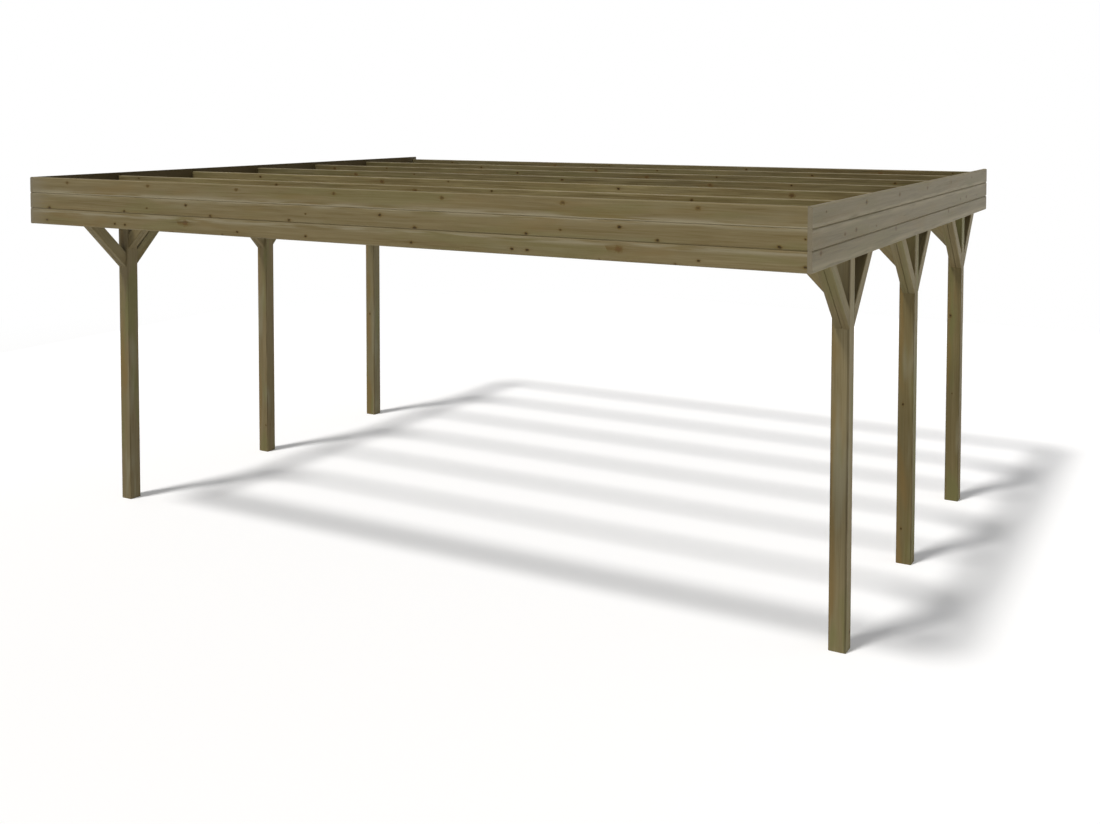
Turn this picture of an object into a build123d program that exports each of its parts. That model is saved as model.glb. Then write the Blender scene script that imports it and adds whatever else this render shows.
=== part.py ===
from build123d import *
from math import sqrt
import os

# Flat-roofed timber carport for two cars: six square posts, a side beam along
# each row of posts, rafters across the beams, knee braces at every post head
# and a boarded fascia round the front and both sides.
# X runs across the drive-in, Y from the front to the rear, Z up from the ground.
# The origin is on the ground at the centre of the plan.

# Overall size, over the fascia boards and down to the ground
width = 5600.0
depth = 4735.0
height = 2488.0

# Fascia boards, one above the other
fascia_rows = ("bottom", "middle", "top")
board_face = 109.0        # height of one board
board_thickness = 24.0
board_bevel = 6.0         # outer long edges; two of them make a V joint

# Posts, set out evenly about the middle of the depth
post_rows = ("front", "middle", "rear")
post_size = 98.0
post_overhang = 819.5     # from the front of the fascia back to the first post's centre
post_bevel = 5.0

# Side beams, lying on the posts
beam_width = 98.0
beam_height = 140.0
beam_bevel = 4.0

# Rafters, lying across the beams
rafter_width = 45.0
rafter_height = 140.0
rafter_drop = 24.0        # from the fascia's top edge down to the rafters' tops
rafter_bevel = 3.0
rear_lip = 24.0           # side boards run on past the rear rafter by this much

# Knee braces, square timber at 45 degrees, grooved down the middle of the lower face
brace_size = 80.0
brace_reach = 409.0       # from the post's face out to the brace's toe
brace_bevel = 4.0
groove_width = 6.0
groove_depth = 5.0

# Levels and faces that follow from the sizes above
fascia_bottom = height - len(fascia_rows) * board_face
rafter_seat = height - rafter_drop - rafter_height    # top of the beams
beam_seat = rafter_seat - beam_height                 # top of the posts
front_face = -depth / 2
rear_face = depth / 2
frame_front = front_face + board_thickness
frame_rear = rear_face - rear_lip
frame_half_width = width / 2 - board_thickness        # outer face of posts and beams
post_centre_x = frame_half_width - post_size / 2
post_spacing = (depth - 2 * post_overhang) / (len(post_rows) - 1)
brace_inset = (post_size - brace_size) / 2


def post_centre_y(row):
    return (row - (len(post_rows) - 1) / 2) * post_spacing


def timber(x_range, y_range, z_range, grain, bevel):
    """Straight squared timber with its four long edges bevelled."""
    size = [high - low for low, high in (x_range, y_range, z_range)]
    centre = [(low + high) / 2 for low, high in (x_range, y_range, z_range)]
    stick = Pos(*centre) * Box(*size)
    return chamfer(stick.edges().filter_by(grain), bevel)


def make_post(side, row):
    centre_x = side * post_centre_x
    centre_y = post_centre_y(row)
    half = post_size / 2
    return timber(
        (centre_x - half, centre_x + half),
        (centre_y - half, centre_y + half),
        (0, beam_seat),
        Axis.Z,
        post_bevel,
    )


def make_side_beam(side):
    outer = side * frame_half_width
    inner = side * (frame_half_width - beam_width)
    return timber(
        (min(outer, inner), max(outer, inner)),
        (frame_front, frame_rear),
        (beam_seat, rafter_seat),
        Axis.Y,
        beam_bevel,
    )


def rafter_fronts():
    """Front face of each rafter: one at each end, one over each pair of posts, one between."""
    over_posts = [
        post_centre_y(row) - post_size / 2 + brace_inset for row in range(len(post_rows))
    ]
    between = [(near + far) / 2 for near, far in zip(over_posts, over_posts[1:])]
    ends = [frame_front, frame_rear - rafter_width]
    return sorted(over_posts + between + ends)


def make_rafter(front):
    return timber(
        (-frame_half_width, frame_half_width),
        (front, front + rafter_width),
        (rafter_seat, rafter_seat + rafter_height),
        Axis.X,
        rafter_bevel,
    )


def cut_groove(stick, foot, direction, heel):
    """V groove down the middle of the brace's lower face."""
    run = direction + Vector(0, 0, 1)
    middle = foot + Vector(0, 0, heel) + run * (brace_reach / 2)
    across = Plane(origin=middle, x_dir=direction.cross(Vector(0, 0, 1)), z_dir=run)
    section = Polygon(
        (-groove_width / 2, 0),
        (0, -groove_depth),
        (groove_width / 2, 0),
        (0, groove_depth),
        align=None,
    )
    return stick - extrude(across * section, amount=brace_reach, both=True)


def make_knee_brace(foot, direction, seat):
    """Brace from the post face at foot, up along direction to the underside at height seat."""
    plumb_cut = brace_size * sqrt(2)
    heel = seat - brace_reach
    wall = Plane(origin=foot, x_dir=direction, z_dir=direction.cross(Vector(0, 0, 1)))
    outline = Polygon(
        (0, heel),
        (brace_reach, seat),
        (brace_reach - plumb_cut, seat),
        (0, heel + plumb_cut),
        align=None,
    )
    stick = extrude(wall * outline, amount=brace_size / 2, both=True)
    run = Axis(foot, direction + Vector(0, 0, 1))
    stick = chamfer(stick.edges().filter_by(run), brace_bevel)
    return cut_groove(stick, foot, direction, heel)


def post_head_braces(side, row):
    """The three braces of one post: towards the front, the rear and the opposite post.

    Those along the depth lie flush with the post's outer face, the inward one in its middle.
    """
    middle = Vector(side * post_centre_x, post_centre_y(row), 0)
    outer = middle + Vector(side * brace_inset, 0, 0)
    ways = (
        ("forward", outer, Vector(0, -1, 0), beam_seat),
        ("rearward", outer, Vector(0, 1, 0), beam_seat),
        ("inward", middle, Vector(-side, 0, 0), rafter_seat),
    )
    return {
        way: make_knee_brace(line + direction * (post_size / 2), direction, seat)
        for way, line, direction, seat in ways
    }


def board_section():
    """Section of a fascia board: x is outwards from its back face, y is upwards."""
    return Polygon(
        (0, 0),
        (board_thickness - board_bevel, 0),
        (board_thickness, board_bevel),
        (board_thickness, board_face - board_bevel),
        (board_thickness - board_bevel, board_face),
        (0, board_face),
        align=None,
    )


def make_front_board(level):
    back = Plane(
        origin=(0, frame_front, fascia_bottom + level * board_face),
        x_dir=(0, -1, 0),
        z_dir=(-1, 0, 0),
    )
    return extrude(back * board_section(), amount=frame_half_width, both=True)


def make_side_board(side, level):
    back = Plane(
        origin=(side * frame_half_width, 0, fascia_bottom + level * board_face),
        x_dir=(side, 0, 0),
        z_dir=(0, -side, 0),
    )
    return extrude(back * board_section(), amount=depth / 2, both=True)


def build_carport():
    pieces = {}
    for side_name, side in (("left", -1), ("right", 1)):
        pieces[f"beam_{side_name}"] = make_side_beam(side)
        for row, row_name in enumerate(post_rows):
            pieces[f"post_{row_name}_{side_name}"] = make_post(side, row)
            for way, brace in post_head_braces(side, row).items():
                pieces[f"brace_{row_name}_{side_name}_{way}"] = brace
        for level, level_name in enumerate(fascia_rows):
            pieces[f"fascia_{side_name}_{level_name}"] = make_side_board(side, level)
    for level, level_name in enumerate(fascia_rows):
        pieces[f"fascia_front_{level_name}"] = make_front_board(level)
    for number, front in enumerate(rafter_fronts(), start=1):
        pieces[f"rafter_{number}"] = make_rafter(front)
    return pieces


os.makedirs("parts", exist_ok=True)
for name, piece in build_carport().items():
    export_step(piece, f"parts/{name}.step")
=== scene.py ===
import math
import random
import bpy
from mathutils import Matrix, Vector


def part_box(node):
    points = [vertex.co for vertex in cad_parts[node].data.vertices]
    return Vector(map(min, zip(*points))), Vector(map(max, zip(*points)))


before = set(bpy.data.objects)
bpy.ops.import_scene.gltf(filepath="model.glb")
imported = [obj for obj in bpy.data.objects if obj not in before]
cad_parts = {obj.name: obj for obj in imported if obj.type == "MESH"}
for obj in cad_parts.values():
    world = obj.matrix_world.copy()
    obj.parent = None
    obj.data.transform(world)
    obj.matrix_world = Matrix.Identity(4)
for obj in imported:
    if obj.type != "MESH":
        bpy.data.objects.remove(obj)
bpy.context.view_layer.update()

# A flat-roofed timber carport in olive-brown treated pine, standing on a pale studio floor.
# Every timber keeps its shape from the frame; this script gives it wood, light and a camera.
print("carport frame loaded:", len(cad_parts), "timbers")


def hexColor(code):
    # screen colour such as "78704f" to the linear values that Blender works in
    parts = [int(code[i:i + 2], 16) / 255 for i in (0, 2, 4)]
    return [p / 12.92 if p <= 0.04045 else ((p + 0.055) / 1.055) ** 2.4 for p in parts]


# small helpers for building shader trees

def addNode(tree, kind, **settings):
    node = tree.nodes.new("ShaderNode" + kind)
    for key, value in settings.items():
        setattr(node, key, value)
    return node


def feed(tree, socket, value):
    if isinstance(value, bpy.types.NodeSocket):
        tree.links.new(value, socket)
    elif socket.type == "RGBA":
        socket.default_value = (*value, 1)
    else:
        socket.default_value = value


def calc(tree, operation, *values):
    node = addNode(tree, "Math", operation=operation)
    for socket, value in zip(node.inputs, values):
        feed(tree, socket, value)
    return node.outputs[0]


def times(tree, first, second):
    return calc(tree, "MULTIPLY", first, second)


def vectorCalc(tree, operation, *values):
    node = addNode(tree, "VectorMath", operation=operation)
    for socket, value in zip(node.inputs, values):
        feed(tree, socket, value)
    return node.outputs["Value" if operation == "LENGTH" else "Vector"]


def split(tree, vector):
    node = addNode(tree, "SeparateXYZ")
    feed(tree, node.inputs[0], vector)
    return node.outputs


def join(tree, *parts):
    node = addNode(tree, "CombineXYZ")
    for socket, value in zip(node.inputs, parts):
        feed(tree, socket, value)
    return node.outputs[0]


def fade(tree, value, low, high, start=0.0, end=1.0):
    # smooth step from start at low to end at high
    node = addNode(tree, "MapRange", interpolation_type="SMOOTHSTEP")
    for socket, number in zip(node.inputs, (value, low, high, start, end)):
        feed(tree, socket, number)
    return node.outputs[0]


def mixColor(tree, amount, first, second):
    node = addNode(tree, "Mix", data_type="RGBA")
    feed(tree, node.inputs["Factor"], amount)
    feed(tree, node.inputs[6], first)
    feed(tree, node.inputs[7], second)
    return node.outputs[2]


def mixVector(tree, amount, first, second):
    node = addNode(tree, "Mix", data_type="VECTOR")
    feed(tree, node.inputs[0], amount)
    feed(tree, node.inputs[4], first)
    feed(tree, node.inputs[5], second)
    return node.outputs[1]


def noise(tree, place, stretch, detail=2.0, colored=False):
    # stretch is how many features a metre holds along, up and through the timber
    node = addNode(tree, "TexNoise")
    feed(tree, node.inputs["Vector"], vectorCalc(tree, "MULTIPLY", place, stretch))
    node.inputs["Scale"].default_value = 1
    node.inputs["Detail"].default_value = detail
    return node.outputs[1 if colored else 0]


def bell(tree, value, width):
    # 1 at zero, falling away over width on either side
    ratio = calc(tree, "DIVIDE", value, width)
    return calc(tree, "EXPONENT", times(tree, times(tree, ratio, ratio), -1))


def newGroup(name, inputs, outputs):
    tree = bpy.data.node_groups.new(name, "ShaderNodeTree")
    for way, sockets in (("INPUT", inputs), ("OUTPUT", outputs)):
        for label, kind in sockets.items():
            tree.interface.new_socket(label, in_out=way, socket_type="NodeSocket" + kind)
    given = tree.nodes.new("NodeGroupInput").outputs
    result = tree.nodes.new("NodeGroupOutput").inputs
    return tree, given, result


knotScatter = {
    "perMetre": (2.2, 8.0, 1.0),      # cells along and across a face, one knot or none in each
    "smallest": 0.0003,
    "largest": 0.009,
    "pastSide": 3.0,                  # the pattern starts elsewhere on the sides
    "pastEdge": 7.0,                  # and on the top and bottom
}


def makeKnotScatter():
    # distance along and across to the nearest of the knots strewn over the face a point lies on
    tree, given, result = newGroup(
        "knotScatter",
        {"Place": "Vector", "Shift": "Vector", "Half": "Vector", "Clear share": "Float"},
        {"Knot": "Vector"},
    )
    along, up, out = split(tree, given["Place"])
    _, halfUp, halfOut = split(tree, given["Half"])
    upShare = calc(tree, "DIVIDE", up, halfUp)
    outShare = calc(tree, "DIVIDE", out, halfOut)
    onEdge = calc(tree, "GREATER_THAN",
                  calc(tree, "ABSOLUTE", upShare), calc(tree, "ABSOLUTE", outShare))
    sides = mixVector(tree, onEdge,
                      join(tree, up, outShare, knotScatter["pastSide"]),
                      join(tree, out, upShare, knotScatter["pastEdge"]))
    across, outward, face = split(tree, sides)
    face = times(tree, face, calc(tree, "SIGN", outward))
    spot = join(tree, calc(tree, "ADD", along, face), across, 0.0)
    spot = vectorCalc(tree, "ADD", spot, given["Shift"])
    point = vectorCalc(tree, "MULTIPLY", spot, knotScatter["perMetre"])
    voronoi = addNode(tree, "TexVoronoi", voronoi_dimensions="2D")
    voronoi.inputs["Scale"].default_value = 1
    feed(tree, voronoi.inputs["Vector"], point)
    away = vectorCalc(tree, "SUBTRACT", point, voronoi.outputs["Position"])
    away = vectorCalc(tree, "DIVIDE", away, knotScatter["perMetre"])
    knotAlong, knotAcross, _ = split(tree, away)
    chance = split(tree, voronoi.outputs["Color"])[0]
    size = fade(tree, chance, given["Clear share"], 1.0,
                knotScatter["smallest"], knotScatter["largest"])
    feed(tree, result["Knot"], join(tree, knotAlong, knotAcross, size))
    return tree


farAway = 9.0                         # farther than any timber is long


def placedKnots(tree, place, knots, start, repeat):
    # knots listed one by one: (along, up, radius) in metres, the pattern coming again every
    # repeat
    along, up, _ = split(tree, place)
    run = addNode(tree, "Math", operation="WRAP")
    for socket, value in zip(run.inputs, (calc(tree, "ADD", along, start), repeat, 0.0)):
        feed(tree, socket, value)
    spot = join(tree, run.outputs[0], up, 0.0)
    nearest = farAway
    chosen = (farAway, farAway, 0.001)
    for knotAlong, knotUp, radius in knots:
        away = vectorCalc(tree, "SUBTRACT", spot, (knotAlong, knotUp, -radius))
        distance = vectorCalc(tree, "LENGTH", away)
        closer = calc(tree, "LESS_THAN", distance, nearest)
        chosen = mixVector(tree, closer, chosen, away)
        nearest = calc(tree, "MINIMUM", distance, nearest)
    return chosen


# olive-brown pressure-treated pine; lengths in metres
pineLook = {
    "ringSpacing": 0.0042,                # growth rings
    "ringContrast": 0.30,
    "yearsUneven": (0.31, 2.0),           # how often and how far the rings' spacing changes
    "lateWood": (0.25, 0.85),             # share of a year over which its ring darkens
    "newYear": (1.0, 0.9),
    "bends": (0.9, 3.0, 3.0),             # wandering of the grain
    "bendReach": (0.0, 0.022, 0.022),
    "bowRound": (3.8, 2.2),               # knot sizes along and across that the grain bows over
    "bow": 0.6,
    "streaks": {                          # features a metre, detail, strength
        "broad": ((1.0, 30, 30), 3, 1.5),
        "fine": ((3.6, 130, 130), 3, 1.7),
        "fibres": ((14, 900, 900), 1, 0.35),
    },
    "middleTone": 0.56,
    "darkToMiddle": (0.0, 0.5),           # the tones over which a colour turns into the next
    "middleToLight": (0.45, 1.0),
    "patchSize": (1.6, 9, 9),
    "patches": {                          # colour, offset, from, to, most, lean to one side
        "green": (hexColor("67653e"), 0.0, 0.50, 0.66, 0.8, 0.02),
        "rust": (hexColor("735f39"), 3.7, 0.52, 0.70, 0.85, -0.12),
        "grey": (hexColor("7f7a63"), 7.9, 0.54, 0.74, 0.7, 0.01),
    },
    "roughness": {"plain": 0.55, "fine": 0.22, "heart": -0.12},
    "relief": {"fibres": 0.45, "lateWood": 0.35, "fine": 0.5, "heart": 0.5, "check": -1.2},
}

# share or place of each mark on a timber whose own dictionary doesn't give it
plainTimber = {
    "streaks": 1.0, "patches": 0.0, "lean": 0.0, "wear": 1.0,
    "darkBack": 0.0, "bleach": 0.0, "darkHeel": 0.0,
    "heart": 0.92, "band": 0.0, "bandStrength": 0.0, "lip": 0.0,
    "line": 0.0, "lineStrength": 0.0,
}


def bendGrain(tree, place, knotAlong, knotAcross, knotSize):
    # how far the grain wanders, and bows round each knot
    wander = noise(tree, place, pineLook["bends"], 2, colored=True)
    wander = vectorCalc(tree, "SUBTRACT", wander, (0.5, 0.5, 0.5))
    wander = vectorCalc(tree, "MULTIPLY", wander, pineLook["bendReach"])
    lengthwise, crosswise = pineLook["bowRound"]
    pull = times(tree, bell(tree, knotAlong, times(tree, knotSize, lengthwise)),
                 bell(tree, knotAcross, times(tree, knotSize, crosswise)))
    bow = times(tree, times(tree, knotAcross, pull), -pineLook["bow"])
    return vectorCalc(tree, "ADD", wander, join(tree, 0.0, bow, 0.0))


def growthRings(tree, fromPith):
    # 1 in the dark late wood of each ring, 0 in the pale early wood
    section = vectorCalc(tree, "MULTIPLY", fromPith, (0, 1, 1))
    radius = calc(tree, "DIVIDE", vectorCalc(tree, "LENGTH", section), pineLook["ringSpacing"])
    often, far = pineLook["yearsUneven"]
    uneven = noise(tree, join(tree, 0.0, times(tree, radius, often), 0.0), (1, 1, 1), 1)
    year = calc(tree, "FRACT", calc(tree, "ADD", radius, times(tree, uneven, far)))
    return times(tree, fade(tree, year, *pineLook["lateWood"]),
                 fade(tree, year, *pineLook["newYear"]))


def addPatches(tree, color, given, flow, upShare):
    # the preservative took unevenly: greener, browner and greyer patches.
    # On some timbers the colour also turns browner towards one side.
    lean = times(tree, upShare, given["lean"])
    for tint, offset, low, high, most, side in pineLook["patches"].values():
        spot = vectorCalc(tree, "ADD", flow, (offset, 0, 0))
        patch = noise(tree, spot, pineLook["patchSize"], 2)
        patch = calc(tree, "MULTIPLY_ADD", lean, side, patch)
        amount = times(tree, fade(tree, patch, low, high, 0.0, most), given["patches"])
        color = mixColor(tree, amount, color, tint)
    return color


paleBand = {
    "color": hexColor("8a826b"),
    "width": 0.014,
    "breaks": (2.6, 40, 10),              # gaps in it along the board
    "gapEdge": (0.36, 0.58),
    "lowerBevelLightColor": hexColor("a0977d"),
    "lowerBevelLightEdge": (0.009, 0.005),            # height over the board's lower edge
}


def addPaleBand(tree, color, given, flow, up, halfUp):
    # a pale sapwood band along a board, and painted light on its lower bevel, which faces down
    # into the joint's shade
    fromBand = calc(tree, "SUBTRACT", up, given["band"])
    broken = fade(tree, noise(tree, flow, paleBand["breaks"], 3), *paleBand["gapEdge"])
    band = times(tree, bell(tree, fromBand, paleBand["width"]), broken)
    color = mixColor(tree, times(tree, band, given["bandStrength"]), color, paleBand["color"])
    # painted light on the lower bevel, where the joint's shade falls
    lip = fade(tree, calc(tree, "ADD", up, halfUp), *paleBand["lowerBevelLightEdge"])
    return mixColor(tree, times(tree, lip, given["lip"]), color, paleBand["lowerBevelLightColor"])


knotLook = {
    "heart": hexColor("2f230d"),
    "bigHeart": hexColor("5c4527"),
    "halo": hexColor("5c4822"),
    "stretch": 1.5,                       # longer along the grain than across it
    "ragged": (70, 110, 110),
    "raggedBy": 1.5,
    "heartEdge": (0.95, 0.45),            # in radii of the knot
    "haloEdge": (1.9, 0.7),               # in radii too
    "haloShare": 0.75,
    "big": (0.0105, 0.013),               # radius at which a knot turns redder, with a tail
    "tailPlace": 0.05,
    "tailLength": 0.09,
    "tailWidth": 0.9,                     # in radii
    "tailShare": 0.7,
    "drawn": (3.6, 0.6),                  # stain drawn out along the grain, in radii
    "drawnShare": 0.45,
}


def addKnots(tree, color, given, place, knotAlong, knotAcross, knotSize):
    # dark heart and brown halo; returns the colour and where the hearts are
    look = knotLook
    alongSquared = calc(tree, "POWER", calc(tree, "DIVIDE", knotAlong, look["stretch"]), 2)
    acrossSquared = calc(tree, "POWER", knotAcross, 2)
    reach = calc(tree, "SQRT", calc(tree, "ADD", alongSquared, acrossSquared))
    reach = calc(tree, "DIVIDE", reach, knotSize)
    ragged = calc(tree, "SUBTRACT", noise(tree, place, look["ragged"], 2), 0.5)
    reach = calc(tree, "MULTIPLY_ADD", ragged, look["raggedBy"], reach)
    heart = fade(tree, reach, *look["heartEdge"])
    halo = fade(tree, reach, *look["haloEdge"], 0.0, look["haloShare"])
    big = fade(tree, knotSize, *look["big"])
    tailAlong = calc(tree, "ADD", knotAlong, look["tailPlace"])
    tail = times(tree, bell(tree, tailAlong, look["tailLength"]),
                 bell(tree, knotAcross, times(tree, knotSize, look["tailWidth"])))
    tail = times(tree, times(tree, tail, big), look["tailShare"])
    lengthwise, crosswise = look["drawn"]
    drawn = times(tree, bell(tree, knotAlong, times(tree, knotSize, lengthwise)),
                  bell(tree, knotAcross, times(tree, knotSize, crosswise)))
    stain = calc(tree, "MAXIMUM", halo, tail)
    stain = calc(tree, "MAXIMUM", stain, times(tree, drawn, look["drawnShare"]))
    color = mixColor(tree, stain, color, look["halo"])
    core = mixColor(tree, big, look["heart"], look["bigHeart"])
    return mixColor(tree, times(tree, heart, given["heart"]), color, core), heart


checkLook = {
    "color": hexColor("352c1d"),
    "spread": (0.3, 26, 26),              # features a metre
    "width": (0.005, 0.001),
    "where": (2.0, 7, 7),                 # stretches of timber that have checks
    "whereEdge": (0.58, 0.68),
    "share": 0.35,
    "cornerShadeWidth": 0.004,                   # of the painted shade line beside a corner
}


def addChecks(tree, color, given, place, flow, up):
    # hair-thin drying checks, straight along the grain and only here and there,
    # and on one post a long line of painted shade on the bevel beside a corner
    look = checkLook
    crack = noise(tree, flow, look["spread"], 0)
    crack = calc(tree, "ABSOLUTE", calc(tree, "SUBTRACT", crack, 0.5))
    where = fade(tree, noise(tree, place, look["where"], 1), *look["whereEdge"])
    check = times(tree, fade(tree, crack, *look["width"]), where)
    color = mixColor(tree, times(tree, check, look["share"]), color, look["color"])
    # painted shade: a dark line along the post's bevel
    line = bell(tree, calc(tree, "SUBTRACT", up, given["line"]), look["cornerShadeWidth"])
    line = times(tree, line, given["lineStrength"])
    return mixColor(tree, line, color, look["color"]), check


edgeLook = {
    "width": (0.009, 0.002),              # strip along each long edge: wear, and on some timbers painted light and shade
    "wearLightSpread": (5, 60, 60),
    "wearLightCut": (0.35, 0.7),
    "wearLightShare": (0.1, 0.6),               # least and most marked
    "backDepth": (0.004, 0.001),
    "heel": (-0.12, -0.30),               # along a brace from its middle
}


def addEdges(tree, color, given, place, along, up, out, halfUp, halfOut):
    # long edges: worn, with a painted highlight on the rafters and painted shade on the posts;
    # painted shade on the back of a board and on the heel of a brace
    look = edgeLook
    fromUp = calc(tree, "SUBTRACT", halfUp, calc(tree, "ABSOLUTE", up))
    fromOut = calc(tree, "SUBTRACT", halfOut, calc(tree, "ABSOLUTE", out))
    edge = fade(tree, calc(tree, "MAXIMUM", fromUp, fromOut), *look["width"])
    edgeWearLightAlong = noise(tree, place, look["wearLightSpread"], 3)
    edgeWearLightAlong = fade(tree, edgeWearLightAlong, *look["wearLightCut"], *look["wearLightShare"])
    edge = times(tree, times(tree, edge, edgeWearLightAlong), given["wear"])
    color = mixColor(tree, edge, color, given["Edge"])
    # painted shade: the back of a board darkened towards its back colour
    behind = fade(tree, calc(tree, "ADD", out, halfOut), *look["backDepth"])
    color = mixColor(tree, times(tree, behind, given["darkBack"]), color, given["Back"])
    # painted shade: a brace darkened towards its heel, where it meets the post
    heel = times(tree, fade(tree, along, *look["heel"]), given["darkHeel"])
    return mixColor(tree, heel, color, given["Dark"])


endLook = {
    "bleachLength": 0.20,
    "bleachUneven": 0.25,
    "depth": (0.0012, 0.0006),            # thickness of the sawn face's own colour
    "rings": 0.22,
    "share": 0.85,
}


def addEnds(tree, color, given, along, halfAlong, fine, lateWood):
    # sawn ends with growth rings on the cut; the first end has bleached a hand's width inwards
    look = endLook
    uneven = times(tree, calc(tree, "SUBTRACT", fine, 0.5), look["bleachUneven"])
    bleached = calc(tree, "ADD", calc(tree, "ADD", along, halfAlong), uneven)
    bleached = times(tree, fade(tree, bleached, look["bleachLength"], 0.0), given["bleach"])
    color = mixColor(tree, bleached, color, given["End"])
    fromEnd = calc(tree, "SUBTRACT", halfAlong, calc(tree, "ABSOLUTE", along))
    end = fade(tree, fromEnd, *look["depth"])
    rings = times(tree, lateWood, look["rings"])
    endColor = mixColor(tree, rings, given["End"], knotLook["heart"])
    return mixColor(tree, times(tree, end, look["share"]), color, endColor)


def makeTreatedPine():
    # Place is measured from the timber's centre: along the grain, up the face and out of
    # the face; Knot is the way to the nearest knot and its radius
    vectors = dict.fromkeys(("Place", "Shift", "Half", "Pith", "Knot"), "Vector")
    colors = dict.fromkeys(("Light", "Middle", "Dark", "End", "Edge", "Back"), "Color")
    shares = dict.fromkeys(plainTimber, "Float")
    outputs = {"Color": "Color", "Roughness": "Float", "Height": "Float"}
    tree, given, result = newGroup("treatedPine", {**vectors, **colors, **shares}, outputs)
    along, up, out = split(tree, given["Place"])
    halfAlong, halfUp, halfOut = split(tree, given["Half"])
    knot = split(tree, given["Knot"])
    place = vectorCalc(tree, "ADD", given["Place"], given["Shift"])

    wander = bendGrain(tree, place, *knot)
    flow = vectorCalc(tree, "ADD", place, wander)
    section = vectorCalc(tree, "ADD", given["Place"], wander)
    lateWood = growthRings(tree, vectorCalc(tree, "SUBTRACT", section, given["Pith"]))

    layers = {}
    tone = 0.0
    for layer, (stretch, detail, strength) in pineLook["streaks"].items():
        layers[layer] = noise(tree, flow, stretch, detail)
        uneven = calc(tree, "SUBTRACT", layers[layer], 0.5)
        tone = calc(tree, "MULTIPLY_ADD", uneven, strength, tone)
    tone = calc(tree, "MULTIPLY_ADD", lateWood, -pineLook["ringContrast"], tone)
    tone = calc(tree, "MULTIPLY_ADD", tone, given["streaks"], pineLook["middleTone"])
    toMiddle = fade(tree, tone, *pineLook["darkToMiddle"])
    color = mixColor(tree, toMiddle, given["Dark"], given["Middle"])
    toLight = fade(tree, tone, *pineLook["middleToLight"])
    color = mixColor(tree, toLight, color, given["Light"])

    color = addPatches(tree, color, given, flow, calc(tree, "DIVIDE", up, halfUp))
    color = addPaleBand(tree, color, given, flow, up, halfUp)
    color, heart = addKnots(tree, color, given, place, *knot)
    color, check = addChecks(tree, color, given, place, flow, up)
    color = addEdges(tree, color, given, place, along, up, out, halfUp, halfOut)
    color = addEnds(tree, color, given, along, halfAlong, layers["fine"], lateWood)

    roughness = pineLook["roughness"]
    rough = calc(tree, "MULTIPLY_ADD", layers["fine"], roughness["fine"], roughness["plain"])
    rough = calc(tree, "MULTIPLY_ADD", heart, roughness["heart"], rough)
    marks = {**layers, "lateWood": lateWood, "heart": heart, "check": check}
    height = 0.0
    for mark, share in pineLook["relief"].items():
        height = calc(tree, "MULTIPLY_ADD", marks[mark], share, height)
    feed(tree, result["Color"], color)
    feed(tree, result["Roughness"], rough)
    feed(tree, result["Height"], height)
    return tree


scatterGroup = makeKnotScatter()
pineGroup = makeTreatedPine()
print("timber shaders built")


def nearestKnot(tree, place, shift, half, wood, board):
    # the way to the nearest knot: listed on some timbers, strewn over the others
    if board.get("knots"):
        start = board.get("start", half[0])
        return placedKnots(tree, place, board["knots"], start, board.get("repeat", farAway))
    scatter = addNode(tree, "Group")
    scatter.node_tree = scatterGroup
    feed(tree, scatter.inputs["Place"], place)
    scatter.inputs["Shift"].default_value = shift
    scatter.inputs["Half"].default_value = half
    scatter.inputs["Clear share"].default_value = wood["clear"]
    return scatter.outputs[0]


timberFinish = {
    "shift": 20,                          # each timber is cut from its own place in the pattern
    "pithSpread": (0.7, 1.3),
    "specular": 0.12,
    "bumpStrength": 0.5,
}


def timberMaterial(name, axes, wood, half, middle, draw, tint, board):
    # one treated timber: axes are its directions along the grain, up the face and out of it
    material = bpy.data.materials.new("treatedPine_" + name)
    material.use_nodes = True
    tree = material.node_tree
    coordinates = addNode(tree, "TexCoord")
    mapping = addNode(tree, "Mapping", vector_type="TEXTURE")
    mapping.inputs["Location"].default_value = middle
    mapping.inputs["Rotation"].default_value = Matrix(axes).transposed().to_euler()
    feed(tree, mapping.inputs["Vector"], coordinates.outputs["Object"])
    place = mapping.outputs[0]

    reach = timberFinish["shift"]
    shift = [draw.uniform(-reach, reach) for _ in range(3)]
    pith = [0.0]
    for away in wood["pith"]:
        pith.append(away * draw.uniform(*timberFinish["pithSpread"]) * draw.choice((-1, 1)))
    pine = addNode(tree, "Group")
    pine.node_tree = pineGroup
    values = {
        "Place": place, "Knot": nearestKnot(tree, place, shift, half, wood, board),
        "Shift": shift, "Half": half, "Pith": pith,
    }
    for tone in ("Light", "Middle", "Dark"):
        values[tone] = [c * t for c, t in zip(hexColor(wood[tone.lower()]), tint)]
    for tone in ("End", "Edge", "Back"):
        if tone.lower() in wood:
            values[tone] = hexColor(wood[tone.lower()])
    for mark, usual in plainTimber.items():
        values[mark] = board.get(mark, wood.get(mark, usual))
    for label, value in values.items():
        feed(tree, pine.inputs[label], value)

    shader = tree.nodes["Principled BSDF"]
    shader.inputs["Specular IOR Level"].default_value = timberFinish["specular"]
    feed(tree, shader.inputs["Base Color"], pine.outputs["Color"])
    feed(tree, shader.inputs["Roughness"], pine.outputs["Roughness"])
    bump = addNode(tree, "Bump")
    bump.inputs["Strength"].default_value = timberFinish["bumpStrength"]
    bump.inputs["Distance"].default_value = wood["bump"]
    feed(tree, bump.inputs["Height"], pine.outputs["Height"])
    feed(tree, shader.inputs["Normal"], bump.outputs[0])
    return material


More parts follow.
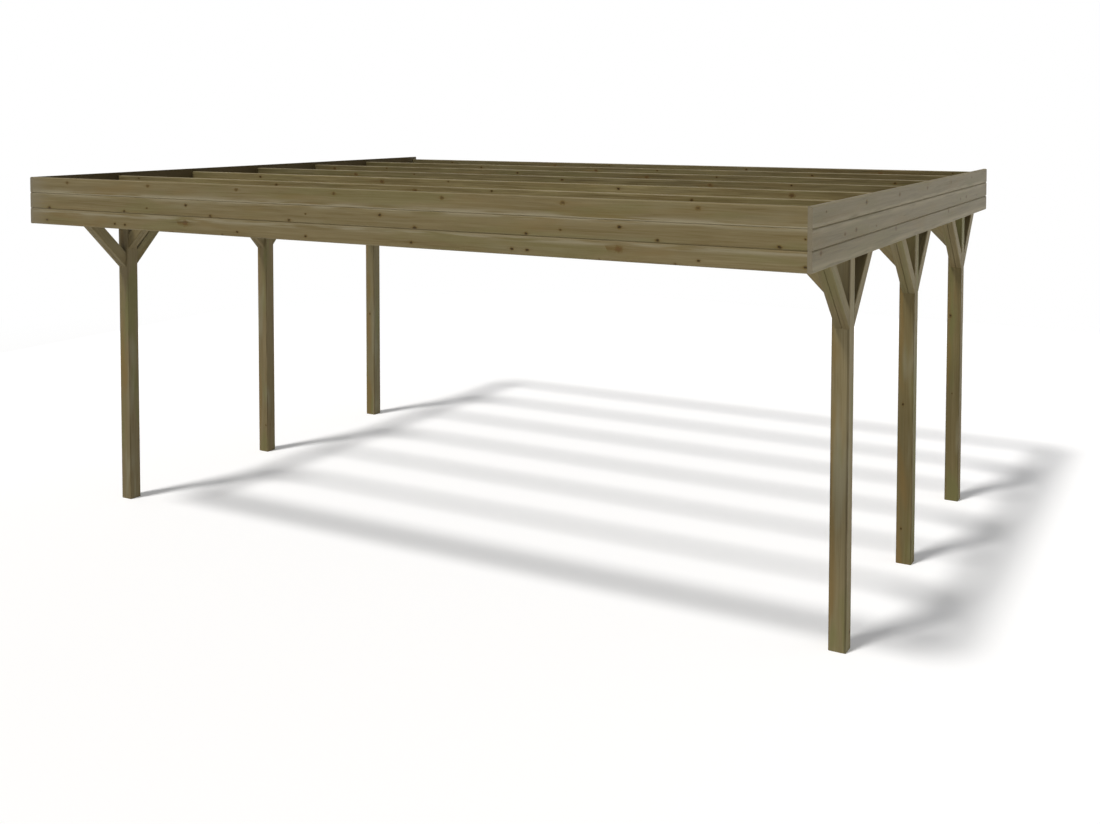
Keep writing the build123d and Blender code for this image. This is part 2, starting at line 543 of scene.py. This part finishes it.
def dress(name, axes, wood, seed, tint=(1, 1, 1), half=None, board=None):
    # gives a timber of the frame its material; its size and place come from the frame
    low, high = (Vector(corner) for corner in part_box(name))
    if half is None:
        half = [abs(Vector(axis).dot((high - low) / 2)) for axis in axes]
    draw = random.Random(seed)
    middle = (low + high) / 2
    material = timberMaterial(name, axes, wood, half, middle, draw, tint, board or {})
    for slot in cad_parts[name].material_slots:
        slot.material = material


alongX, alongY, alongZ = (1, 0, 0), (0, 1, 0), (0, 0, 1)
backX, backY = (-1, 0, 0), (0, -1, 0)
postRows = ("front", "middle", "rear")


postWood = {
    "light": "7e7355", "middle": "6f6446", "dark": "5f5335",
    # the dark edge colour is painted shade on the posts' bevels, together with their wear
    "end": "6d634b", "edge": "4a412a",
    "pith": (0.012, 0.015), "bump": 0.0012, "clear": 0.55,
    "streaks": 0.55, "patches": 0.9, "lean": 1, "wear": 1.5,
    # the darker tints of the middle and rear right posts are painted shade, the roof's shade on
    # them
    "tint": {
        "front_left": (1.0, 1.0, 1.08), "front_right": (1.15, 1.17, 1.26),
        "middle_left": (1.03, 1.0, 1.03), "middle_right": (0.88, 0.86, 0.78),
        "rear_left": (1.0, 1.04, 1.12), "rear_right": (0.86, 0.84, 0.76),
    },
    "corner": {                           # painted shade: a dark line on the bevel beside a corner
        "front_right": {"line": 0.042, "lineStrength": 0.45},
    },
    "knots": {                            # up the post from its foot, across its face, radius
        "middle_left": [(0.232, 0.030, 0.006)],
        "rear_left": [(0.986, -0.001, 0.008)],
        "middle_right": [(1.050, -0.015, 0.007), (0.231, -0.018, 0.006)],
        "rear_right": [(1.410, -0.024, 0.009), (0.820, -0.004, 0.004)],
    },
    "seed": 11,
}


def dressPosts():
    seed = postWood["seed"]
    for row in postRows:
        for side in ("left", "right"):
            spot = f"{row}_{side}"
            board = {"knots": postWood["knots"].get(spot), **postWood["corner"].get(spot, {})}
            dress("post_" + spot, (alongZ, alongX, alongY), postWood, seed,
                  postWood["tint"][spot], board=board)
            seed += 1


dressPosts()
print("posts dressed")


beamWood = {
    "light": "766b4b", "middle": "665b3b", "dark": "54492c",
    "end": "6d634b", "edge": "7a7052",
    "pith": (0.03, 0.03), "bump": 0.0012, "clear": 0.4,
    "streaks": 0.8, "patches": 0.6,
    "seed": 31,
}


def dressBeams():
    for seed, side in enumerate(("left", "right"), beamWood["seed"]):
        dress(f"beam_{side}", (alongY, alongZ, alongX), beamWood, seed)


dressBeams()


rafterWood = {
    # colours darkened with painted shade, the shade between the rafters under the roof
    "light": "6e6445", "middle": "60563a", "dark": "4e442a",
    # the pale edge colour is a painted highlight along the rafters' edges, together with their
    # wear
    "end": "6d634b", "edge": "9a8f72",
    "paintedLightByRafter": (1.2, 1.6, 1.45, 1, 1, 1, 1),      # painted light lifting the painted shade, from the front rafter to the rear one
    "spread": 0.08, "pith": (0.11, -0.05), "bump": 0.001,
    "streaks": 1.0, "patches": 0.25,
    "knots": [                            # along, up from the middle, radius
        (0.35, 0.046, 0.008), (1.52, 0.040, 0.012), (2.10, 0.056, 0.006),
        (0.95, -0.030, 0.007), (2.66, -0.046, 0.009),
    ],
    "repeat": 3.086,
    "firstStart": 3,                      # start of the pattern, before the first step
    "step": 0.83,                         # how far it moves on from one rafter to the next
    "seed": 40,
    "toneSeed": 5,
}


def dressRafters():
    wood = rafterWood
    draw = random.Random(wood["toneSeed"])
    for number, paintedLightOfRafter in enumerate(wood["paintedLightByRafter"], 1):
        brightness = paintedLightOfRafter * (1 + draw.uniform(-wood["spread"], wood["spread"]))
        start = wood["firstStart"] + wood["step"] * number
        board = {"knots": wood["knots"], "repeat": wood["repeat"], "start": start}
        dress(f"rafter_{number}", (alongX, alongZ, backY), wood, wood["seed"] + number,
              (brightness,) * 3, board=board)


dressRafters()
print("beams and rafters dressed")


braceWood = {
    "light": "7f7456", "middle": "6e6346", "dark": "5c5036",
    "edge": "7a7052",
    "spread": 0.05, "pith": (0.03, 0.03), "bump": 0.0012, "clear": 0.6,
    "streaks": 0.6, "patches": 0.5, "darkHeel": 0.3,
    "half": (0.6, 0.04, 0.04),            # the mitred ends are hidden, so no end grain shows
    "seed": 60,
    "toneSeed": 6,
}


def dressBraces():
    # each brace climbs at 45 degrees, so its grain runs along that slope
    slope = math.sqrt(0.5)
    seed = braceWood["seed"]
    draw = random.Random(braceWood["toneSeed"])
    for row in postRows:
        for side, inward in (("left", 1), ("right", -1)):
            ways = {"forward": (0, -1), "rearward": (0, 1), "inward": (inward, 0)}
            for way, (x, y) in ways.items():
                along = Vector((x, y, 1)) * slope
                up = Vector((-x, -y, 1)) * slope
                axes = (along, up, along.cross(up))
                brightness = 1 + draw.uniform(-braceWood["spread"], braceWood["spread"])
                dress(f"brace_{row}_{side}_{way}", axes, braceWood, seed,
                      (brightness,) * 3, braceWood["half"])
                seed += 1


dressBraces()
print("braces dressed")


fasciaWood = {
    "light": "7d7254", "middle": "716547", "dark": "615434",
    # the back colour is painted shade on the boards' backs, which face the roofed space
    "end": "7a7260", "edge": "857b60", "back": "463b25",
    "pith": (0.14, -0.07), "bump": 0.001, "clear": 0.3,
    "streaks": 0.7, "patches": 0.4, "darkBack": 0.85, "bleach": 0.5,
}

# the right boards are greyer and more even
rightFasciaWood = {
    **fasciaWood,
    "light": "7f7661", "middle": "746c57", "dark": "645c48",
    "streaks": 0.75, "patches": 0.2, "bleach": 0.0,
}

fasciaSeeds = {"front": 90, "right": 100, "left": 110}

# knots are (along from the board's first end, up from its middle, radius), coming again
# every repeat; the band's height is from the middle too
frontBoards = {
    "top": {
        "knots": [(0.356, 0.024, 0.009)], "heart": 0.45,
        "repeat": 0.772, "band": -0.045, "bandStrength": 0.75, "lip": 0.9,
    },
    "middle": {
        "knots": [
            (0.17, -0.046, 0.0105), (0.906, -0.042, 0.008), (1.116, -0.013, 0.006),
            (1.466, 0.018, 0.009), (1.68, -0.042, 0.008), (2.326, -0.042, 0.009),
            (2.456, 0.003, 0.005), (3.01, 0.018, 0.009),
        ],
        "repeat": 3.086, "band": 0.050, "bandStrength": 0.75,
    },
    "bottom": {
        "knots": [
            (0.146, -0.022, 0.008), (0.816, -0.022, 0.008), (0.912, -0.024, 0.008),
            (1.35, -0.049, 0.004), (1.46, 0.012, 0.015), (1.78, -0.049, 0.006),
            (1.906, -0.024, 0.007), (2.456, -0.024, 0.008),
        ],
        "repeat": 3.086, "band": 0.036, "bandStrength": 0.8,
    },
}

rightBoards = {
    "top": {
        "knots": [
            (0.23, 0.014, 0.005), (1.0, 0.014, 0.0105), (1.77, 0.014, 0.010),
            (2.54, 0.014, 0.009), (3.31, 0.014, 0.006), (4.09, 0.014, 0.006),
        ],
        "band": -0.044, "bandStrength": 0.7,
    },
    "middle": {
        "knots": [(0.574, -0.016, 0.008), (0.794, -0.013, 0.010), (1.22, -0.024, 0.005)],
        "repeat": 3.086, "band": 0.038, "bandStrength": 0.7,
    },
    "bottom": {
        "knots": [(0.144, 0.033, 0.010)],
        "repeat": 1.543, "band": -0.032, "bandStrength": 0.75,
    },
}


def dressFascia():
    for number, level in enumerate(("bottom", "middle", "top")):
        dress(f"fascia_front_{level}", (alongX, alongZ, backY), fasciaWood,
              fasciaSeeds["front"] + number, board=frontBoards[level])
        dress(f"fascia_right_{level}", (alongY, alongZ, alongX), rightFasciaWood,
              fasciaSeeds["right"] + number, board=rightBoards[level])
        dress(f"fascia_left_{level}", (backY, alongZ, backX), fasciaWood,
              fasciaSeeds["left"] + number)


dressFascia()
print("fascia boards dressed")


studio = {
    "sunDirection": (0.46, 1.08, -2.32),  # the way the light travels
    "sunStrength": 2.6,
    "sunPlace": (0, 0, 6),
    "sunSoftness": 9,                     # degrees across
    "sunColor": (1.0, 0.975, 0.93),
    "worldStrength": 0.16,
    "floorColor": (0.88, 0.88, 0.89),
    "floorSeen": (1.05, 1.06, 1.09),      # the floor's colour to the camera, so that it is white
    "floorReach": 90,
    "floorRoughness": 0.9,
    "floorGlow": 0.15,                    # share of plain white in what the camera sees of it
    "plainFloor": (5.5, 11.0),            # metres out, over which that share grows to all of it
}

warmWhite = (1.0, 0.99, 0.97)
# low soft panels: place, size, power, colour, way they face
softPanels = {
    "rightPanel": ((8.5, -1.8, 1.0), (14, 1.9), 176, (0.96, 0.98, 1.0), (-1, 0, 0)),
    "frontPanel": ((0.5, -12, 1.1), (15, 2.0), 140, warmWhite, (0, 1, 0)),
    "leftPanel": ((-8.5, 0.5, 1.0), (10, 1.9), 110, warmWhite, (1, 0, 0)),
    "rearPanel": ((0, 10, 1.1), (12, 2.0), 200, warmWhite, (0, -1, 0)),
}


def addLamp(name, kind, power, color, place, direction):
    lamp = bpy.data.lights.new(name, kind)
    lamp.energy = power
    lamp.color = color
    lampObject = bpy.data.objects.new(name, lamp)
    lampObject.location = place
    lampObject.rotation_euler = Vector(direction).to_track_quat("-Z", "Y").to_euler()
    lampObject.visible_camera = False
    bpy.context.scene.collection.objects.link(lampObject)
    return lamp


def addLamps():
    sun = addLamp("highSun", "SUN", studio["sunStrength"], studio["sunColor"],
                  studio["sunPlace"], studio["sunDirection"])
    sun.angle = math.radians(studio["sunSoftness"])
    for name, (place, size, power, color, facing) in softPanels.items():
        panel = addLamp(name, "AREA", power, color, place, facing)
        panel.shape = "RECTANGLE"
        panel.size, panel.size_y = size


def whiteToCamera(tree):
    # 1 for what the camera and reflections see, 0 for light on its way to the timber
    path = addNode(tree, "LightPath")
    seen = calc(tree, "MAXIMUM", path.outputs["Is Camera Ray"], path.outputs["Is Glossy Ray"])
    return calc(tree, "MAXIMUM", seen, path.outputs["Is Transmission Ray"])


def makeWorld():
    # soft even light from all round; the camera and reflections see plain white
    world = bpy.data.worlds.new("paleStudio")
    bpy.context.scene.world = world
    world.use_nodes = True
    tree = world.node_tree
    light = tree.nodes["Background"]
    light.inputs["Color"].default_value = (1, 1, 1, 1)
    light.inputs["Strength"].default_value = studio["worldStrength"]
    white = addNode(tree, "Background")
    white.inputs["Color"].default_value = (1, 1, 1, 1)
    white.inputs["Strength"].default_value = 1
    blend = addNode(tree, "MixShader")
    feed(tree, blend.inputs[0], whiteToCamera(tree))
    feed(tree, blend.inputs[1], light.outputs[0])
    feed(tree, blend.inputs[2], white.outputs[0])
    feed(tree, tree.nodes["World Output"].inputs["Surface"], blend.outputs[0])


def makeFloor():
    reach = studio["floorReach"]
    mesh = bpy.data.meshes.new("studioFloor")
    corners = [(-reach, -reach, 0), (reach, -reach, 0), (reach, reach, 0), (-reach, reach, 0)]
    mesh.from_pydata(corners, [], [(0, 1, 2, 3)])
    floor = bpy.data.objects.new("studioFloor", mesh)
    bpy.context.scene.collection.objects.link(floor)
    material = bpy.data.materials.new("paleFloor")
    material.use_nodes = True
    tree = material.node_tree
    shader = tree.nodes["Principled BSDF"]
    seen = whiteToCamera(tree)
    color = mixColor(tree, seen, studio["floorColor"], studio["floorSeen"])
    feed(tree, shader.inputs["Base Color"], color)
    shader.inputs["Roughness"].default_value = studio["floorRoughness"]
    shader.inputs["Specular IOR Level"].default_value = 0
    white = addNode(tree, "Emission")
    white.inputs["Strength"].default_value = 1
    distance = vectorCalc(tree, "LENGTH", addNode(tree, "TexCoord").outputs["Object"])
    glow = fade(tree, distance, *studio["plainFloor"], studio["floorGlow"], 1.0)
    blend = addNode(tree, "MixShader")
    feed(tree, blend.inputs[0], times(tree, seen, glow))
    feed(tree, blend.inputs[1], shader.outputs[0])
    feed(tree, blend.inputs[2], white.outputs[0])
    feed(tree, tree.nodes["Material Output"].inputs["Surface"], blend.outputs[0])
    mesh.materials.append(material)


addLamps()
makeWorld()
makeFloor()
print("studio lit")


cameraSetup = {
    "location": (4.576, -8.281, 2.936),
    "lookDown": 2.594,                    # degrees below level
    "turn": 30.11,                        # degrees to the left of straight ahead
    "lens": 41.03,
    "sensorWidth": 36,
    "shiftX": 0.0318,
    "shiftY": -0.22,
}


def addCamera():
    camera = bpy.data.cameras.new("frontCorner")
    camera.sensor_width = cameraSetup["sensorWidth"]
    camera.sensor_fit = "HORIZONTAL"
    camera.lens = cameraSetup["lens"]
    camera.shift_x = cameraSetup["shiftX"]
    camera.shift_y = cameraSetup["shiftY"]
    cameraObject = bpy.data.objects.new("frontCorner", camera)
    cameraObject.location = cameraSetup["location"]
    down, turn = (math.radians(cameraSetup[key]) for key in ("lookDown", "turn"))
    cameraObject.rotation_euler = (math.pi / 2 - down, 0, turn)
    bpy.context.scene.collection.objects.link(cameraObject)
    bpy.context.scene.camera = cameraObject


addCamera()
bpy.context.scene.view_settings.view_transform = "Standard"
print("camera placed")
